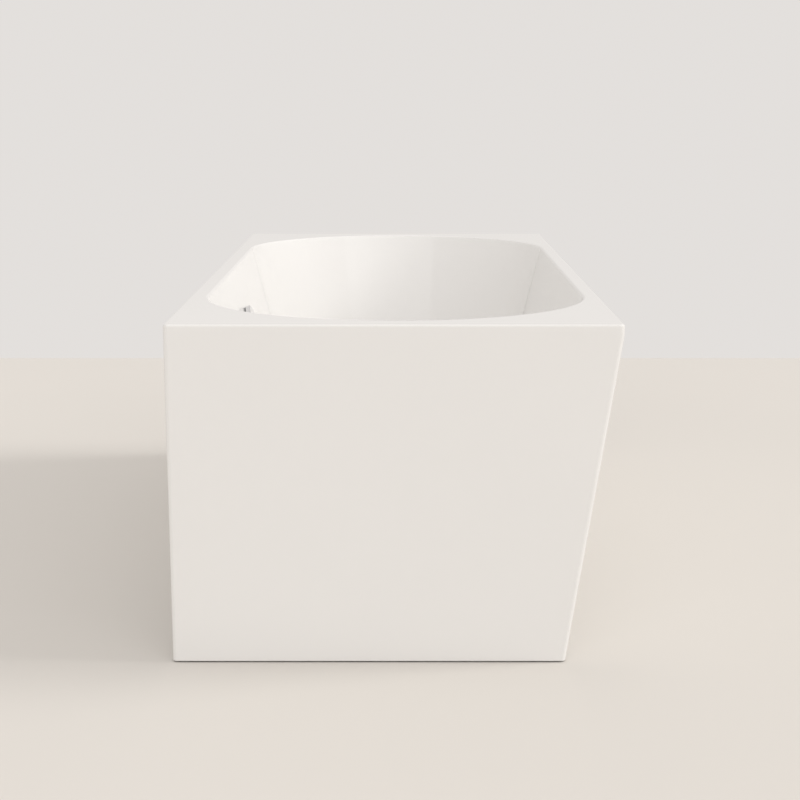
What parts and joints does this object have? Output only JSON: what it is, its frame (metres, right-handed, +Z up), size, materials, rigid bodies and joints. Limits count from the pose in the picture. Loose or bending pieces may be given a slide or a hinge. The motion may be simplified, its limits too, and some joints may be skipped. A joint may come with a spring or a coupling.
{
  "type": "freestanding bathtub",
  "caption": "Back-to-wall freestanding bathtub: an obround well under a flat deck, in a straight-sided skirt whose front slopes in, with click waste, overflow and levelling feet.",
  "frame": {"origin": "on the floor, under the middle of the deck", "axes": "+Z up; +Y along the tub; +X from the upright back to the sloping front"},
  "size_m": [0.75, 1.7, 0.58],
  "materials": {
    "white_acrylic": "high gloss",
    "birch_board": "raw plywood",
    "pine_batten": "sawn and planed",
    "zinc_steel": "zinc plated",
    "spring_steel": "drawn wire",
    "chrome": "polished",
    "brass": "turned",
    "black_rubber": "moulded",
    "grey_plastic": "moulded",
    "white_plastic": "moulded"
  },
  "bodies": {
    "tub": {"base_board": "birch_board", "basin_shell": "white_acrylic", "board_screws": "zinc_steel", "bracket_screws": "zinc_steel", "cross_rail_far": "zinc_steel", "cross_rail_middle": "zinc_steel", "cross_rail_near": "zinc_steel", "drain_cartridge": "brass", "drain_flange": "chrome", "drain_gasket": "black_rubber", "lock_nuts": "zinc_steel", "outer_skirt": "white_acrylic", "outlet_coupling": "white_plastic", "outlet_tail": "grey_plastic", "overflow_cover": "chrome", "overflow_elbow": "grey_plastic", "overflow_faceplate": "grey_plastic", "overflow_gasket": "black_rubber", "overflow_pipe": "grey_plastic", "overflow_screw": "zinc_steel", "pipe_nut_lower": "white_plastic", "pipe_nut_upper": "white_plastic", "plug_spring": "spring_steel", "rail_brackets": "zinc_steel", "rim_batten_back": "pine_batten", "rim_batten_far": "pine_batten", "rim_batten_front": "pine_batten", "rim_batten_near": "pine_batten", "skirt_batten_back": "pine_batten", "skirt_batten_far": "pine_batten", "skirt_batten_front": "pine_batten", "skirt_batten_near": "pine_batten", "thread_inserts": "zinc_steel", "trap_housing": "grey_plastic", "trap_nut": "white_plastic", "trap_seal": "black_rubber", "waste_body": "grey_plastic", "waste_gasket": "black_rubber"},
    "plug": {"drain_plug": "chrome", "plug_seal": "black_rubber"},
    "foot_1": {"foot_pad_1": "black_rubber", "foot_stud_1": "zinc_steel"},
    "foot_2": {"foot_pad_2": "black_rubber", "foot_stud_2": "zinc_steel"},
    "foot_3": {"foot_pad_3": "black_rubber", "foot_stud_3": "zinc_steel"},
    "foot_4": {"foot_pad_4": "black_rubber", "foot_stud_4": "zinc_steel"},
    "foot_5": {"foot_pad_5": "black_rubber", "foot_stud_5": "zinc_steel"},
    "foot_6": {"foot_pad_6": "black_rubber", "foot_stud_6": "zinc_steel"}
  },
  "joints": [
    {"name": "plug_lift", "type": "slide", "parent": "tub", "child": "plug", "axis": [0, 0, 1], "range_m": [0, 0.008], "deforming": ["plug_spring"]},
    {"name": "foot_1_level", "type": "slide", "parent": "tub", "child": "foot_1", "axis": [0, 0, 1], "range_m": [-0.01, 0.01]},
    {"name": "foot_2_level", "type": "slide", "parent": "tub", "child": "foot_2", "axis": [0, 0, 1], "range_m": [-0.01, 0.01]},
    {"name": "foot_3_level", "type": "slide", "parent": "tub", "child": "foot_3", "axis": [0, 0, 1], "range_m": [-0.01, 0.01]},
    {"name": "foot_4_level", "type": "slide", "parent": "tub", "child": "foot_4", "axis": [0, 0, 1], "range_m": [-0.01, 0.01]},
    {"name": "foot_5_level", "type": "slide", "parent": "tub", "child": "foot_5", "axis": [0, 0, 1], "range_m": [-0.01, 0.01]},
    {"name": "foot_6_level", "type": "slide", "parent": "tub", "child": "foot_6", "axis": [0, 0, 1], "range_m": [-0.01, 0.01]}
  ]
}
